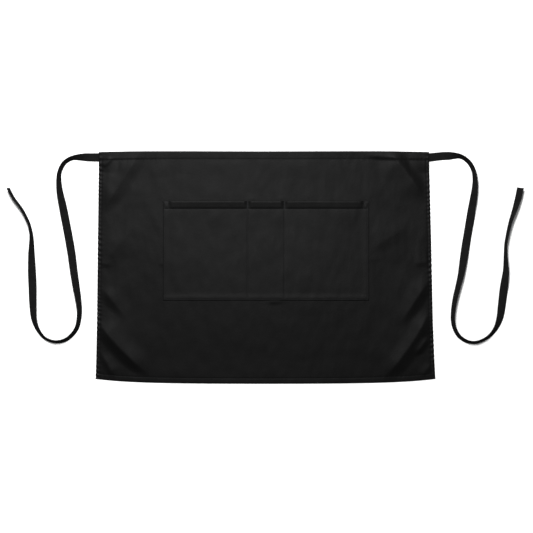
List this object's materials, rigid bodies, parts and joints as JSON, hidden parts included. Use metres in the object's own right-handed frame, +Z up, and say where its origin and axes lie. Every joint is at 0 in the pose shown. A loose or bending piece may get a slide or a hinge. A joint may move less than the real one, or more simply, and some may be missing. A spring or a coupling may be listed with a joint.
{
  "type": "waist apron",
  "caption": "Waist apron lying flat, with turned hems, a divided patch pocket across the front and two long ties sewn in at the waistband.",
  "frame": {"origin": "middle of the panel's outline, on the surface that the apron lies on", "axes": "+X to the right as the pocket side is seen from above, +Y towards the waistband, +Z up out of the pocket side"},
  "size_m": [1.0781, 0.4869, 0.0171],
  "materials": {
    "twill_cloth": "black cotton and polyester twill, matt with a soft sheen",
    "tie_tape": "the same black twill, folded and stitched into a flat tape",
    "sewing_thread": "black spun polyester thread, dull"
  },
  "bodies": {
    "root": {"main_panel": "twill_cloth", "waistband": "twill_cloth", "bottom_hem": "twill_cloth", "side_hem_left": "twill_cloth", "side_hem_right": "twill_cloth", "pocket_panel": "twill_cloth", "pocket_mouth_hem": "twill_cloth", "tie_left": "tie_tape", "tie_right": "tie_tape"}
  },
  "joints": []
}
